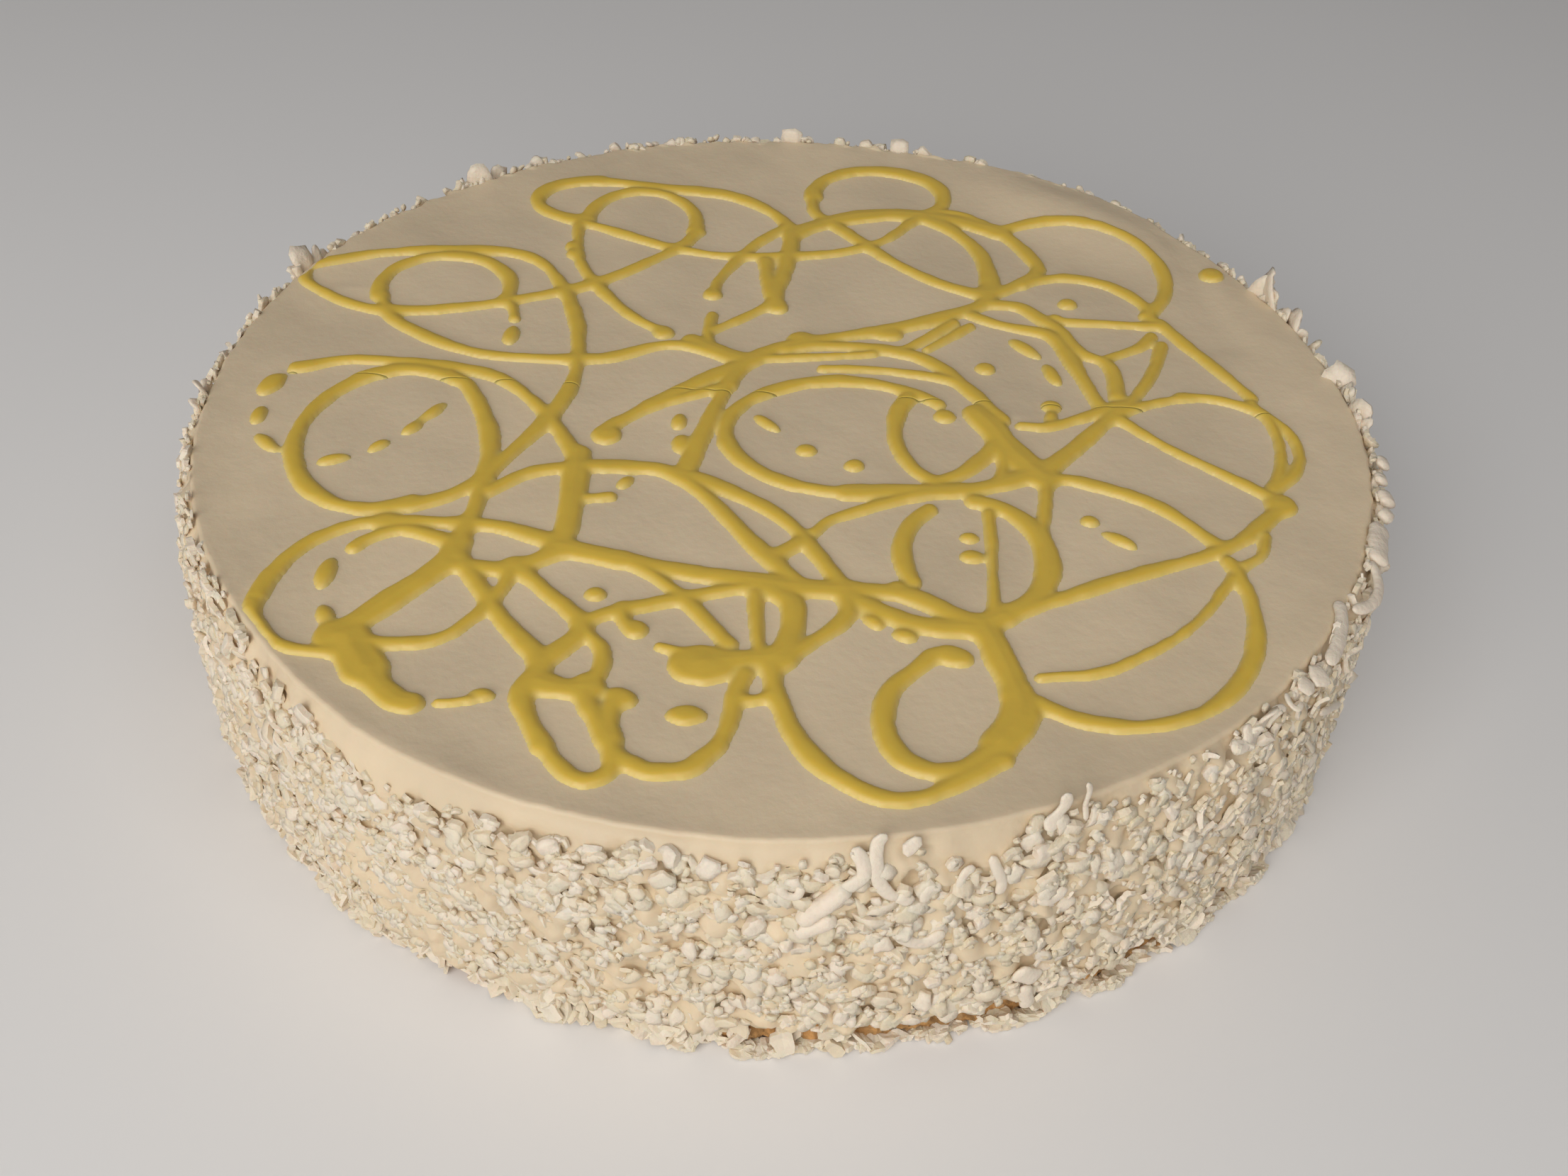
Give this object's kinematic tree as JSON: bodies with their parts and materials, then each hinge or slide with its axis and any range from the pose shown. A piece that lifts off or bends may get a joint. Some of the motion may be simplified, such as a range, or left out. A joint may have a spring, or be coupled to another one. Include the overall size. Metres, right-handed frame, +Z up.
{
  "type": "egg liqueur cake",
  "caption": "Whole round cream cake on a sponge base, side covered in white chocolate shavings, flat top drizzled with egg liqueur in rings and trails.",
  "frame": {"origin": "middle of the flat underside, on the surface that the cake stands on", "axes": "+Z up through the middle of the cake, -Y towards the picture's viewer, +X to the viewer's right"},
  "size_m": [0.273, 0.273, 0.065],
  "materials": {
    "cream": "smooth whipped cream, satin",
    "sponge": "baked nut sponge, matte and crumbly",
    "shavings": "white chocolate, waxy",
    "drizzle": "egg liqueur, glossy and thick"
  },
  "bodies": {
    "root": {"cream_cake": "cream", "sponge_base": "sponge"}
  },
  "joints": []
}
